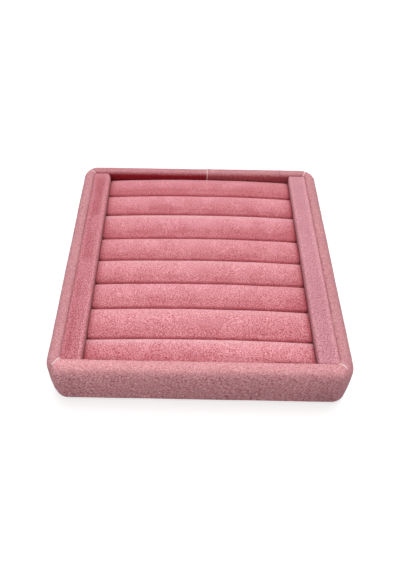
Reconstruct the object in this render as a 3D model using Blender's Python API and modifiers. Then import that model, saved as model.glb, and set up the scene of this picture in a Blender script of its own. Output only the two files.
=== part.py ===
"""A padded velvet display tray: a soft rim round a lift-out insert of eight foam rolls.

Lengths are in metres. +Z is up, the front faces -Y, and the origin lies under the middle of the tray.
An outline of the rim is a list of (inset, height) points: the inset is measured inwards from the outer
face of the tray, and the height from the surface that the tray stands on.
"""

import math

import bmesh
import bpy
from mathutils import Vector

# Overall size
TRAY_WIDTH = 0.170
TRAY_DEPTH = 0.180
TRAY_HEIGHT = 0.029

# Gap that touching pieces keep, and distances for welding a mesh
CLEARANCE = 0.0003
WELD_DISTANCE = 0.00001

# Cloth, lining and boards
VELVET_THICKNESS = 0.0007
LINING_THICKNESS = 0.0006
BASE_BOARD_THICKNESS = 0.002
INSERT_BOARD_THICKNESS = 0.0015

# Rim, which is thicker at the front and rear than at the sides
RIM_THICKNESS = 0.0079
END_RIM_THICKNESS = 0.009
INNER_CORNER_RADIUS = 0.0015
OUTER_EDGE_RADIUS = 0.0052
INNER_EDGE_RADIUS = 0.0015
BOTTOM_EDGE_RADIUS = 0.003
RAIL_THICKNESS = 0.0031
TOP_PADDING = 0.0026
SEAM_GAP = 0.0005
SEAM_OFFSET = 0.0054
OUTER_EDGE_SHARE = 0.72

# End strips of the insert
STRIP_WIDTH = 0.01055
STRIP_DROP = 0.0016
STRIP_EDGE_RADIUS = 0.0012
STRIP_REAR_RADIUS = 0.0032
LATH_EDGE_RADIUS = 0.0003

# Rolls, from the rear to the front
ROLL_WIDTH_SHARES = (0.92, 0.99, 1.15, 0.985, 0.98, 0.98, 1.10, 0.895)
CREST_DROP = 0.0032
CROWN_RISE = 0.0034
CROWN_FULLNESS = 2.5
END_SAG = 0.002
END_ROUND_LENGTH = 0.002
END_ROUND_DROP = 0.0008
END_DRAW_IN = 0.0005
DRAW_IN_POWER = 4

# How finely round shapes are divided, and the angle from which an edge counts as sharp
CORNER_STEPS = 8
EDGE_STEPS = 5
STRIP_STEPS = 3
CROWN_STEPS = 10
CORE_CROWN_STEPS = 8
END_STEPS = 3
LENGTH_STEPS = 6
CORE_LENGTH_STEPS = 4
QUARTER_TURN = math.pi / 2
SHARP_ANGLE = math.radians(40)

# Levels, from the underside up
BOARD_LOW = VELVET_THICKNESS + CLEARANCE
BOARD_TOP = BOARD_LOW + BASE_BOARD_THICKNESS
RAIL_LOW = BOARD_TOP + CLEARANCE
LINING_LOW = BOARD_TOP + CLEARANCE
LINING_TOP = LINING_LOW + LINING_THICKNESS
INSERT_LOW = LINING_TOP + CLEARANCE
INSERT_TOP = INSERT_LOW + INSERT_BOARD_THICKNESS
ROLL_LOW = INSERT_TOP + CLEARANCE
ROLL_CREST = TRAY_HEIGHT - CREST_DROP
STRIP_TOP = TRAY_HEIGHT - STRIP_DROP
UNDER_VELVET = VELVET_THICKNESS + CLEARANCE
RAIL_TOP = TRAY_HEIGHT - UNDER_VELVET - TOP_PADDING - CLEARANCE

# Plan sizes
HALF_TRAY = Vector((TRAY_WIDTH / 2, TRAY_DEPTH / 2, 0))
CORNER_RADIUS = RIM_THICKNESS + INNER_CORNER_RADIUS
END_STRETCH = END_RIM_THICKNESS / RIM_THICKNESS
RAIL_INSET = (RIM_THICKNESS - RAIL_THICKNESS) / 2
BOARD_INSET = max(BOTTOM_EDGE_RADIUS, RAIL_INSET)
HALF_INSERT_WIDTH = HALF_TRAY.x - RIM_THICKNESS - CLEARANCE
HALF_INSERT_DEPTH = HALF_TRAY.y - END_RIM_THICKNESS - CLEARANCE
HALF_ROLL_LENGTH = HALF_INSERT_WIDTH - STRIP_WIDTH - CLEARANCE

# Colours and finish: base colour, roughness
FINISHES = {
    "velvet": ((0.70, 0.27, 0.31, 1), 0.9),
    "lining": ((0.62, 0.25, 0.31, 1), 0.95),
    "foam": ((0.86, 0.84, 0.76, 1), 0.95),
    "board": ((0.46, 0.33, 0.21, 1), 0.75),
    "card": ((0.60, 0.57, 0.52, 1), 0.85),
}

COLLECTION = "padded_display_tray"
SIDES = {
    "front": Vector((0, -1, 0)),
    "rear": Vector((0, 1, 0)),
    "left": Vector((-1, 0, 0)),
    "right": Vector((1, 0, 0)),
}


def clear_scene():
    for thing in list(bpy.data.objects):
        bpy.data.objects.remove(thing)


def make_material(name):
    colour, roughness = FINISHES[name]
    material = bpy.data.materials.new(name)
    material.use_nodes = True
    shader = material.node_tree.nodes["Principled BSDF"]
    shader.inputs["Base Color"].default_value = colour
    shader.inputs["Roughness"].default_value = roughness
    shader.inputs["Metallic"].default_value = 0
    material.diffuse_color = colour
    return material


def make_collection():
    collection = bpy.data.collections.new(COLLECTION)
    bpy.context.scene.collection.children.link(collection)


def add_empty(name, place):
    empty = bpy.data.objects.new(name, None)
    empty.location = place
    bpy.data.collections[COLLECTION].objects.link(empty)
    return empty


def add_piece(name, shape, finish, place=Vector((0, 0, 0)), carrier=None):
    """Turns a bmesh into an object at a place in the tray, carried by an empty if one is given."""
    bmesh.ops.recalc_face_normals(shape, faces=shape.faces)
    mesh = bpy.data.meshes.new(name)
    shape.to_mesh(mesh)
    shape.free()
    mesh.materials.append(make_material(finish))
    mesh.shade_smooth()
    mesh.set_sharp_from_angle(angle=SHARP_ANGLE)
    piece = bpy.data.objects.new(name, mesh)
    bpy.data.collections[COLLECTION].objects.link(piece)
    piece.location = place
    if carrier:
        piece.parent = carrier
        piece.location = place - carrier.location
    return piece


def box_shape(half_sizes, height):
    """A box standing on z = 0, about the Z axis."""
    shape = bmesh.new()
    bmesh.ops.create_cube(shape, size=1)
    bmesh.ops.scale(shape, verts=shape.verts, vec=(2 * half_sizes[0], 2 * half_sizes[1], height))
    bmesh.ops.translate(shape, verts=shape.verts, vec=(0, 0, height / 2))
    return shape


def upright_edges(shape):
    return [edge for edge in shape.edges if abs(edge.verts[0].co.z - edge.verts[1].co.z) > WELD_DISTANCE]


def round_edges(shape, edges, radius, steps):
    bmesh.ops.bevel(
        shape, geom=edges, offset=radius, segments=steps, profile=0.5, affect="EDGES", clamp_overlap=True
    )


def panel_shape(inset, low, top, corner_radius):
    """A flat panel with rounded corners that keeps an inset from the tray's outer face at the sides."""
    shape = box_shape((HALF_TRAY.x - inset, HALF_TRAY.y - inset * END_STRETCH), top - low)
    if corner_radius > 0:
        round_edges(shape, upright_edges(shape), corner_radius, EDGE_STEPS)
    return shape


def arc(centre, radius, first_turn, steps=EDGE_STEPS):
    """Points of a clockwise quarter circle; the turn is counted in quarters from the inward direction."""
    turns = [first_turn * QUARTER_TURN - QUARTER_TURN * step / steps for step in range(steps + 1)]
    return [(centre[0] + radius * math.cos(turn), centre[1] + radius * math.sin(turn)) for turn in turns]


def rim_line(offset, inner_low):
    """The rim's surface moved in by an offset, over the top and then down the inner side."""
    outer_radius = min(OUTER_EDGE_RADIUS, RIM_THICKNESS * OUTER_EDGE_SHARE)
    inner_radius = min(INNER_EDGE_RADIUS, RIM_THICKNESS - outer_radius)
    outer_centre = (outer_radius, TRAY_HEIGHT - outer_radius)
    inner_centre = (RIM_THICKNESS - inner_radius, TRAY_HEIGHT - inner_radius)
    over_the_top = arc(outer_centre, outer_radius - offset, 2)
    over_the_top += arc(inner_centre, inner_radius - offset, 1)
    return over_the_top + [(RIM_THICKNESS - offset, inner_low)]


def hem_line(offset):
    """The velvet's hem, from its inner edge under the tray to the foot of the outer side."""
    centre = (BOTTOM_EDGE_RADIUS, BOTTOM_EDGE_RADIUS)
    return [(RIM_THICKNESS, offset)] + arc(centre, BOTTOM_EDGE_RADIUS - offset, 3)


def only_edges(items):
    return [item for item in items if isinstance(item, bmesh.types.BMEdge)]


def carry_round_tray(outline, slit=0.0, start=0.0):
    """Carries an outline once round the tray, from a start on the rear side and back to it.

    The start is measured to the right of the middle. Straight runs are extruded and corners are spun. A
    slit leaves the two ends apart and closes them.
    """
    shape = bmesh.new()
    corner = Vector((HALF_TRAY.x - CORNER_RADIUS, HALF_TRAY.y - CORNER_RADIUS, 0))
    section = [shape.verts.new((start + slit / 2, HALF_TRAY.y - inset, height)) for inset, height in outline]
    edges = [shape.edges.new(pair) for pair in zip(section, section[1:] + section[:1])]
    first_edges = list(edges)
    first_run = Vector((corner.x - slit / 2 - start, 0, 0))
    last_run = Vector((corner.x - slit / 2 + start, 0, 0))
    stretches = (
        (first_run, Vector((corner.x, corner.y, 0))),
        (Vector((0, -2 * corner.y, 0)), Vector((corner.x, -corner.y, 0))),
        (Vector((-2 * corner.x, 0, 0)), Vector((-corner.x, -corner.y, 0))),
        (Vector((0, 2 * corner.y, 0)), Vector((-corner.x, corner.y, 0))),
        (last_run, None),
    )
    for run, turn_centre in stretches:
        moved = bmesh.ops.extrude_edge_only(shape, edges=edges)["geom"]
        moved_verts = [item for item in moved if isinstance(item, bmesh.types.BMVert)]
        bmesh.ops.translate(shape, verts=moved_verts, vec=run)
        edges = only_edges(moved)
        if turn_centre:
            turned = bmesh.ops.spin(
                shape, geom=edges, cent=turn_centre, axis=(0, 0, 1), dvec=(0, 0, 0),
                angle=-QUARTER_TURN, steps=CORNER_STEPS, use_duplicate=False,
            )["geom_last"]
            edges = only_edges(turned)
    if slit:
        bmesh.ops.edgeloop_fill(shape, edges=first_edges)
        bmesh.ops.edgeloop_fill(shape, edges=edges)
    bmesh.ops.remove_doubles(shape, verts=shape.verts, dist=WELD_DISTANCE)
    return shape


def thicken_ends(shape):
    """Stretches a surround inwards from the tray's front and rear faces, where the rim is thicker."""
    for vert in shape.verts:
        inset = HALF_TRAY.y - abs(vert.co.y)
        vert.co.y = math.copysign(HALF_TRAY.y - inset * END_STRETCH, vert.co.y)


def keep_one_side(shape, outward):
    """Cuts a whole surround back to one side of the tray, at the mitre planes of its two corners."""
    along = Vector((abs(outward.y), abs(outward.x), 0))
    for direction in (along, -along):
        reach = outward + direction
        corner = Vector((reach.x * HALF_TRAY.x, reach.y * HALF_TRAY.y, 0))
        normal = (direction - outward).normalized()
        cut = bmesh.ops.bisect_plane(
            shape, geom=shape.verts[:] + shape.edges[:] + shape.faces[:],
            plane_co=corner - normal * CLEARANCE / 2, plane_no=normal, clear_outer=True,
        )["geom_cut"]
        bmesh.ops.edgeloop_fill(shape, edges=only_edges(cut))


def add_base():
    """The underside's sheet inside the hem, the board that the rails stand on, and the floor's lining."""
    inside_rim = RIM_THICKNESS + CLEARANCE
    corner = max(INNER_CORNER_RADIUS - CLEARANCE, 0)
    add_piece("base_sheet", panel_shape(inside_rim, 0, VELVET_THICKNESS, corner), "lining")
    board_corner = (CORNER_RADIUS - BOARD_INSET) * max(END_STRETCH, 1)
    board = panel_shape(BOARD_INSET, BOARD_LOW, BOARD_TOP, board_corner)
    add_piece("base_board", board, "board", Vector((0, 0, BOARD_LOW)))
    lining = panel_shape(inside_rim, LINING_LOW, LINING_TOP, corner)
    add_piece("floor_lining", lining, "lining", Vector((0, 0, LINING_LOW)))


def add_rails():
    """Four mitred rails, upright on the base board."""
    inner = RAIL_INSET + RAIL_THICKNESS
    outline = [(RAIL_INSET, RAIL_LOW), (RAIL_INSET, RAIL_TOP), (inner, RAIL_TOP), (inner, RAIL_LOW)]
    for side, outward in SIDES.items():
        shape = carry_round_tray(outline)
        keep_one_side(shape, outward)
        thicken_ends(shape)
        add_piece(side + "_rail", shape, "board")


def add_padding():
    """Foam over each rail: down both faces, and thick over the top."""
    outer_face = RAIL_INSET - CLEARANCE
    inner_face = RAIL_INSET + RAIL_THICKNESS + CLEARANCE
    under = [(inner_face, RAIL_LOW), (inner_face, RAIL_TOP + CLEARANCE)]
    under += [(outer_face, RAIL_TOP + CLEARANCE), (outer_face, RAIL_LOW)]
    outline = [(UNDER_VELVET, RAIL_LOW)] + rim_line(UNDER_VELVET, RAIL_LOW) + under
    for side, outward in SIDES.items():
        shape = carry_round_tray(outline)
        keep_one_side(shape, outward)
        thicken_ends(shape)
        add_piece(side + "_padding", shape, "foam")


def add_rim_cover():
    """One strip of velvet: a hem underneath, the outer side, the top, and the inner side to the floor."""
    outside = hem_line(0) + rim_line(0, LINING_LOW)
    inside = hem_line(VELVET_THICKNESS) + rim_line(VELVET_THICKNESS, LINING_LOW)
    cover = carry_round_tray(outside + inside[::-1], SEAM_GAP, SEAM_OFFSET)
    thicken_ends(cover)
    add_piece("rim_cover", cover, "velvet")


def add_insert_board(carrier):
    shape = box_shape((HALF_INSERT_WIDTH, HALF_INSERT_DEPTH), INSERT_BOARD_THICKNESS)
    round_edges(shape, upright_edges(shape), INNER_CORNER_RADIUS, EDGE_STEPS)
    add_piece("insert_board", shape, "card", Vector((0, 0, INSERT_LOW)), carrier)


def rear_inner_corner(shape, outward):
    """A strip's upright edge at the rear, on the side of the rolls."""
    return [e for e in upright_edges(shape) if e.verts[0].co.x * outward < 0 < e.verts[0].co.y]


def strip_cover_shape(outward, edge_radius):
    """A rounded box with no bottom. The left strip's rear corner beside the rolls is cut rounder."""
    shape = box_shape((STRIP_WIDTH / 2, HALF_INSERT_DEPTH), STRIP_TOP - ROLL_LOW)
    if outward < 0:
        round_edges(shape, rear_inner_corner(shape, outward), STRIP_REAR_RADIUS, EDGE_STEPS)
    sharp = [
        edge for edge in shape.edges
        if max(vert.co.z for vert in edge.verts) > 0 and edge.calc_face_angle() > SHARP_ANGLE
    ]
    round_edges(shape, sharp, edge_radius, STRIP_STEPS)
    shape.normal_update()
    bottom = [face for face in shape.faces if max(vert.co.z for vert in face.verts) < WELD_DISTANCE]
    bmesh.ops.delete(shape, geom=bottom, context="FACES_ONLY")
    return shape


def lath_shape(outward, edge_radius):
    """The lath that fills a strip's cover, with the same corners."""
    half_sizes = (STRIP_WIDTH / 2 - UNDER_VELVET, HALF_INSERT_DEPTH - UNDER_VELVET)
    shape = box_shape(half_sizes, STRIP_TOP - ROLL_LOW - UNDER_VELVET)
    if outward < 0:
        rear_radius = max(STRIP_REAR_RADIUS - UNDER_VELVET, LATH_EDGE_RADIUS)
        round_edges(shape, rear_inner_corner(shape, outward), rear_radius, EDGE_STEPS)
    sharp = [edge for edge in shape.edges if edge.calc_face_angle() > SHARP_ANGLE]
    round_edges(shape, sharp, max(edge_radius - UNDER_VELVET, LATH_EDGE_RADIUS), 1)
    return shape


def add_strips(carrier):
    """The two flat bands beside the rolls: a lath with velvet over it."""
    edge_radius = max(STRIP_EDGE_RADIUS, INNER_CORNER_RADIUS - CLEARANCE)
    for side, outward in (("left", -1), ("right", 1)):
        middle = Vector((outward * (HALF_INSERT_WIDTH - STRIP_WIDTH / 2), 0, ROLL_LOW))
        cover = strip_cover_shape(outward, edge_radius)
        wrap_inwards(add_piece(side + "_strip_cover", cover, "velvet", middle, carrier))
        add_piece(side + "_strip_core", lath_shape(outward, edge_radius), "board", middle, carrier)


def wrap_inwards(piece):
    """Gives an open surface the velvet's thickness, on its inner side."""
    shell = piece.modifiers.new("velvet", "SOLIDIFY")
    shell.thickness = VELVET_THICKNESS
    shell.offset = -1
    shell.use_even_offset = True


def crown_stations(steps):
    """(sideways, height) shares of the crown, on a superellipse from one springing line to the other."""
    power = 2 / CROWN_FULLNESS
    turns = [math.pi * step / steps for step in range(steps + 1)]
    stations = []
    for turn in turns:
        sideways = -math.copysign(abs(math.cos(turn)) ** power, math.cos(turn))
        stations.append((sideways, max(math.sin(turn), 0) ** power))
    return stations


def length_stations(half_length, length_steps):
    """Places along a roll: close together in the rounded ends, even between them."""
    straight = half_length - END_ROUND_LENGTH
    turns = [QUARTER_TURN * step / END_STEPS for step in range(1, END_STEPS + 1)]
    end = [straight + END_ROUND_LENGTH * math.sin(turn) for turn in turns]
    middle = [straight * (2 * step / length_steps - 1) for step in range(length_steps + 1)]
    return [-place for place in reversed(end)] + middle + end


def roll_shape(half_length, half_width, crest, crown_steps, length_steps):
    """A roll's surface, open underneath, with its foot on z = 0.

    A grid is bent over the roll. Its outermost rows are the foot of the four walls and the next ones are
    the springing line. Between those the crown rises on a superellipse. The whole crown sags towards the
    ends, falls on a quarter ellipse within the rounded ends, and is drawn in sideways there.
    """
    crown = crown_stations(crown_steps)
    places = length_stations(half_length, length_steps)
    columns, rows = len(places) + 1, len(crown) + 1
    shape = bmesh.new()
    bmesh.ops.create_grid(shape, x_segments=columns, y_segments=rows, size=1)
    for vert in shape.verts:
        column = round((vert.co.x + 1) / 2 * columns)
        row = round((vert.co.y + 1) / 2 * rows)
        place = places[min(max(column - 1, 0), len(places) - 1)]
        sideways, height = crown[min(max(row - 1, 0), len(crown) - 1)]
        share = place / half_length
        into_end = max(abs(place) - half_length + END_ROUND_LENGTH, 0) / END_ROUND_LENGTH
        end_fall = END_ROUND_DROP * (1 - math.sqrt(max(1 - into_end**2, 0)))
        fall = END_SAG * share**2 + end_fall
        reach = half_width - END_DRAW_IN * abs(share) ** DRAW_IN_POWER
        foot = column in (0, columns) or row in (0, rows)
        vert.co = (place, reach * sideways, 0 if foot else crest - fall - CROWN_RISE * (1 - height))
    bmesh.ops.remove_doubles(shape, verts=shape.verts, dist=WELD_DISTANCE)
    return shape


def roll_cover_shape(half_width, crest):
    """The velvet over a roll: its outer surface, the inner one a cloth's thickness in, and the foot."""
    shape = roll_shape(HALF_ROLL_LENGTH, half_width, crest, CROWN_STEPS, LENGTH_STEPS)
    inner = roll_shape(
        HALF_ROLL_LENGTH - VELVET_THICKNESS, half_width - VELVET_THICKNESS, crest - VELVET_THICKNESS,
        CROWN_STEPS, LENGTH_STEPS,
    )
    bmesh.ops.reverse_faces(inner, faces=inner.faces)
    lining = bpy.data.meshes.new("inner_surface")
    inner.to_mesh(lining)
    inner.free()
    shape.from_mesh(lining)
    bpy.data.meshes.remove(lining)
    bmesh.ops.bridge_loops(shape, edges=[edge for edge in shape.edges if edge.is_boundary])
    return shape


def roll_core_shape(half_width, crest):
    """The foam inside a roll's velvet, closed underneath."""
    shape = roll_shape(
        HALF_ROLL_LENGTH - UNDER_VELVET, half_width - UNDER_VELVET, crest - UNDER_VELVET,
        CORE_CROWN_STEPS, CORE_LENGTH_STEPS,
    )
    bmesh.ops.edgeloop_fill(shape, edges=[edge for edge in shape.edges if edge.is_boundary])
    return shape


def add_rolls(carrier):
    """Eight foam rolls side by side, each in its velvet, from the rear of the insert to its front."""
    share_length = 2 * HALF_INSERT_DEPTH / sum(ROLL_WIDTH_SHARES)
    rear = HALF_INSERT_DEPTH
    for number, share in enumerate(ROLL_WIDTH_SHARES, start=1):
        width = share * share_length
        middle = Vector((0, rear - width / 2, ROLL_LOW))
        rear -= width
        half_width = (width - CLEARANCE) / 2
        crest = ROLL_CREST - ROLL_LOW
        cover = roll_cover_shape(half_width, crest)
        core = roll_core_shape(half_width, crest)
        add_piece(f"roll_cover_{number}", cover, "velvet", middle, carrier)
        add_piece(f"roll_core_{number}", core, "foam", middle, carrier)


def main():
    clear_scene()
    make_collection()
    add_base()
    add_rails()
    add_padding()
    add_rim_cover()
    lift = add_empty("insert_lift", Vector((0, 0, INSERT_LOW)))
    add_insert_board(lift)
    add_strips(lift)
    add_rolls(lift)


main()
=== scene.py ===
import math

import bmesh
import bpy
import numpy as np
from bpy.props import FloatProperty, FloatVectorProperty, IntProperty, PointerProperty
from mathutils import Matrix, Vector


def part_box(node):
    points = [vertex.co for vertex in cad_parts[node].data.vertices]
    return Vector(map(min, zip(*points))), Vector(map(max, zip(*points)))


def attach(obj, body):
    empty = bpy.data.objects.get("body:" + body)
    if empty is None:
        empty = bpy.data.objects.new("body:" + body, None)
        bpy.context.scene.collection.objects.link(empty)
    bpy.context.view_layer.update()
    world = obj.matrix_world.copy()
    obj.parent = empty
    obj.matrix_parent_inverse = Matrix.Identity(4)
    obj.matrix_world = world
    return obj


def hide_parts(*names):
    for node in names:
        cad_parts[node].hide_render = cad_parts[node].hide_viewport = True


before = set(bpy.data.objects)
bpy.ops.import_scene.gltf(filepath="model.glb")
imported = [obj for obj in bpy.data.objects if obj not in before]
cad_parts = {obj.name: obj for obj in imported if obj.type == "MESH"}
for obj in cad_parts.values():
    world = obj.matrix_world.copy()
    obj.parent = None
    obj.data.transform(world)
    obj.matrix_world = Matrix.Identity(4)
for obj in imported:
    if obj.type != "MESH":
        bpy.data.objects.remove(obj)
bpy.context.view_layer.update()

bl_info = {
    "name": "Padded Velvet Display Tray",
    "version": (1, 0, 0),
    "blender": (4, 5, 0),
    "location": "View3D > Sidebar > Tray",
    "description": "Dresses a display tray in short-pile velvet: padded rim, flat end strips and foam rolls",
    "category": "Add Mesh",
}

# Lengths are in metres in the frame's axes: +Z is up and the tray's front faces -Y. An outline of the rim
# holds (inset, height) points: the inset is measured inwards from the tray's outer face. The mask of nap and
# painted light runs from 0, dark, to 1, light: it holds the velvet's brushing, and painted light and shade as
# well. A span is a pair of values over which a mask steps from 0 to 1, written backwards where the mask
# falls.

HALF_WIDTH, HALF_DEPTH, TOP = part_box("rim_cover")[1]
RAIL_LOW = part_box("front_rail")[0].z
RAIL_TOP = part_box("front_rail")[1].z
CLEARANCE = RAIL_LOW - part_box("base_board")[1].z
INNER_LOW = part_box("floor_lining")[0].z
RIM_THICKNESS = HALF_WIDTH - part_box("insert_board")[1].x - CLEARANCE
END_STRETCH = (HALF_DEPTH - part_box("insert_board")[1].y - CLEARANCE) / RIM_THICKNESS
RAIL_INSET = HALF_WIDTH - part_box("right_rail")[1].x
INNER_CORNER_RADIUS = 0.0015
FOAM_TURN = 0.49  # of a quarter turn
QUARTER_TURN = math.pi / 2
ROLLS = range(1, 9)
WHITE = (1, 1, 1, 1)

# Seeds of the noises
RIM_SEED, STRIP_SEED, LINING_SEED, PATCH_SEED, HIGHLIGHT_SEED = 3, 11, 21, 31, 40

# Each corner's cut in the velvet, in the order in which the rim passes them, from the rear right: which way
# the side rail lies, how far the cut's start, middle and end lie from the diagonal on that side, and how far
# it reaches from the corner's centre
CUTS = (
    (1, -0.0004, -0.0013, -0.0022, 0.0060),
    (-1, -0.0038, -0.0006, -0.0005, 0.0063),
    (1, -0.0002, -0.0003, -0.0004, 0.0072),
    (-1, -0.0009, -0.0001, 0.0007, 0.0056),
)

# How far the rim's foot tucks in and its side swells at each corner, in the order of the cuts
CORNER_TUCKS = (0.0, 0.0, 0.001, 0.0)
CORNER_SWELLS = (0.0, 0.0006, 0.0, 0.0)

# Heights on the rim: the velvet lies flat below the first. Over the spans the seam appears, the velvet comes
# free of the inner wall, and the inner walls and the rear one leave the painted shade
FLAT_HEM = 0.0005
SEAM_START = (FLAT_HEM, 0.002)
FREE_WALL = (TOP - 0.009, TOP - 0.003)
SIDE_SHADE = (TOP - 0.0008, TOP - 0.006)
REAR_SHADE = (TOP + 0.0008, TOP - 0.0028)
RIGHT_REAR_SHADE = 0.78  # of the rear wall's, right of the seam

# Along a cut, in shares of its reach: where it opens, closes, gets its crease, and blurs
CUT_START, CUT_END, CREASE_START, BLUR_START = (0.16, 0.3), (1.08, 0.92), (0.8, 1.2), (0.8, 1.3)

# Across a cut: the step of its lap, the sides of its crease, the change from the front's nap to the side's,
# and how much wider that gets where it blurs
LAP_STEP, CREASE_SIDES = (-0.0001, 0.0001), (0.0012, 0.0003)
NAP_CHANGE, BLUR = (-0.0003, 0.0003), 0.004

# Across a raw edge, in shares of its width: from its middle at a cut, and from the rear seam
CUT_EDGE, SEAM_EDGE = (0.7, 0.3), (0.9, 0.5)

# Naps and grain as sums of steps: a plain value, and for each step what is measured, its span and its gain.
# Upwards is how far up a face looks, from 0 to 1. The rim's steps by height and upwards are painted shade:
# faces that look up are lighter, lower parts darker. The right strip's steps by its edges are painted
# highlights
SIDE_NAP_AND_SHADE = (0.12, ("height", 0, TOP, 0.3), ("upwards", 0.7, 1, 0.18))
FRONT_NAP_AND_SHADE = (0.36, ("height", 0.3 * TOP, 0.95 * TOP, 0.27), ("upwards", 0.6, 0.95, 0.3))
SIDE_GRAIN, FRONT_GRAIN = 0.5, (1, ("upwards", 0.05, 0.6, -0.48))
RIGHT_STRIP_NAP_AND_HIGHLIGHT = (
    0.45, ("rearwards", -0.04, 0.01, 0.2), ("from_outer", 0.0024, 0.0014, 0.45),
    ("from_inner", 0.0022, 0.0003, 0.25),
)

# What the mask gains at the front's right, where painted shade darkens the front towards the right, at the
# ends of its upright face, and on the rear's inner wall, where the rim faces rearwards by more than the share
FRONT_SHADE_RIGHT, FRONT_ENDS_GAIN, REAR_WALL_GAIN = -0.1, -0.15, 0.35
UPRIGHT_FACE, FRONT_ENDS, REAR_FACE, REARWARDS = (0.6, 0.1), (0.68, 0.86), (0.9, 0.2), 0.7

# Each roll's brushing, rear to front: how far its nap shifts at the rear, at the front and from the middle
# to the right end, and how strong the painted highlight is along the rear shoulder
ROLL_BRUSHING = (
    (-0.22, -0.34, 0.0, 0.0),
    (-0.07, -0.28, 0.0, 0.0),
    (0.05, -0.24, -0.05, 0.34),
    (-0.05, -0.06, -0.05, 0.0),
    (0.1, -0.04, -0.05, 0.24),
    (-0.09, -0.12, -0.12, 0.04),
    (0.05, -0.06, -0.05, 0.12),
    (0.02, -0.12, 0.22, 0.36),
)

# Values at a roll's front and rear before its brushing: the nap with painted light, the front shaded and the
# rear lit. Where across the crown, from -1 at the front to 1 at the rear, the value rises and the painted
# highlight on the rear shoulder sets in, the span of its patches, and the least share of it along the
# shoulder
ROLL_FRONT_NAP_AND_SHADE, ROLL_REAR_NAP_AND_LIGHT, CROWN_NAP_AND_LIGHT = 0.36, 1, (-1, 0.9)
HIGHLIGHT_SHOULDER, HIGHLIGHT_PATCH, LEAST_HIGHLIGHT = (0.35, 0.85), (-0.5, 0.5), 0.55
SWELLING_CROWN = (0, 0.5)  # how high on the crown the foam's swells set in

# Painted shade at a roll's ends: a short fall and a long one, how much longer that is, and what the right end
# gains
SHORT_SHADE, LONG_SHADE, TIMES_LONGER, RIGHT_END_GAIN = 0.5, 0.3, 4, 1.25

# How far down a folded wall the painted shade sets in, and how strong it is on the insert's outermost
# walls, beside 1 for walls that always face each other
WALL_SHADE_SPAN = (0.02, 0.3)
OPEN_WALL_SHADE = 0.3

# Points and steps of the meshes along and across a roll and a strip, and how far in from a strip's ends
# they are closer together
ROLL_STEPS, CROWN_POINTS = 62, 27
STRIP_STEPS, STRIP_END_STEPS, STRIP_END = 80, 12, 0.0034
ROUNDING_POINTS, FLAT_STEPS = 7, 8

# The left strip's patches: their size, how they are squeezed across so that they lie along the strip, and
# their span. Where its middle, outer margin, front and inner band set in; the inner band is a painted
# highlight. Its plain nap and what the front, the patches, the band and the band's front gain
PATCH_SIZE, PATCH_SQUEEZE, LEFT_PATCH = 0.007, (1, 0.5, 1), (-0.35, 0.35)
LEFT_MIDDLE, LEFT_MARGIN = (0.0015, 0.004), (0.001, 0.003)
LEFT_FRONT, LEFT_HIGHLIGHT_BAND = (0.02, 0.075), (0.0028, 0.0005)
LEFT_NAP, FRONT_GAIN, PATCH_GAIN, HIGHLIGHT_BAND_GAIN, FRONT_HIGHLIGHT_GAIN = 0.72, -0.2, -0.5, 0.28, 0.2

# The linings: points along and across, the depth and size of their waves, the margin that stays flat, and
# how much thinner the cloth is than its box, to leave room for them
LINING_POINTS = (80, 86)
LINING_WAVE, LINING_WAVE_SIZE, FLAT_MARGIN, LINING_ROOM = 0.00008, 0.02, 0.01, 0.0001

# Grain of the rolls and strips at the middle of the tray, and what it loses from there to the rear
MIDDLE_GRAIN, REAR_GRAIN_LOSS = 0.92, 0.32

# The velvet while it swells, and the height of the foot by which it is held
CLOTH = {
    "mass": 0.001, "tension_stiffness": 8, "compression_stiffness": 8, "shear_stiffness": 4,
    "bending_stiffness": 0.05, "air_damping": 2, "use_pressure": True, "vertex_group_mass": "foot",
}
HELD_FOOT = 0.0015

# Points nearer than this are joined, and no movement is taken for less than the other
WELD_DISTANCE, LEAST_MOVE = 1e-6, 1e-9

# How each piece's velvet is brushed: strength of its patches and streaks, how much the grain changes red,
# green and blue, and how the grain is turned and then stretched
PILES = {
    "rim": (0.06, 0.04, (1.75, 3.3, 3.1), (0, math.radians(-52), 0), (4, 1, 1.2)),
    "roll": (0.28, 0.1, (1.05, 2.4, 2.2), (0, 0, math.radians(50)), (1.6, 1, 1)),
    "left_strip": (0.12, 0.08, (1.25, 2.7, 2.4), (0, 0, math.radians(-50)), (2.2, 1, 1)),
    "right_strip": (0.12, 0.08, (0.9, 1.9, 1.7), (0, 0, math.radians(-50)), (2.2, 1, 1)),
}

# The velvet's noises and the spans they are stretched over, the tufts' share in the relief and the relief's
# middle, what the tufts add to the least roughness, the specular level and the sheen's tint
PATCH_NOISE, STREAK_NOISE, TUFT_SHARE, MIDDLE_RELIEF = (0.36, 0.64), (0.35, 0.65), 0.5, 0.75
PILE_ROUGHNESS, VELVET_SPECULAR, SHEEN_TINT = (0.2, 0.72), 0.12, (1.0, 0.72, 0.76, 1.0)

# The same for the flecked stuffs, made of fibres and pores
FIBRE_NOISE, PORE_CELLS, FIBRE_ROUGHNESS, FIBRE_SHARE = (0.35, 0.65), (0.0, 0.7), 0.6, 0.7
STUFF_ROUGHNESS, STUFF_SPECULAR = (0.15, 0.78), 0.2

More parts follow.
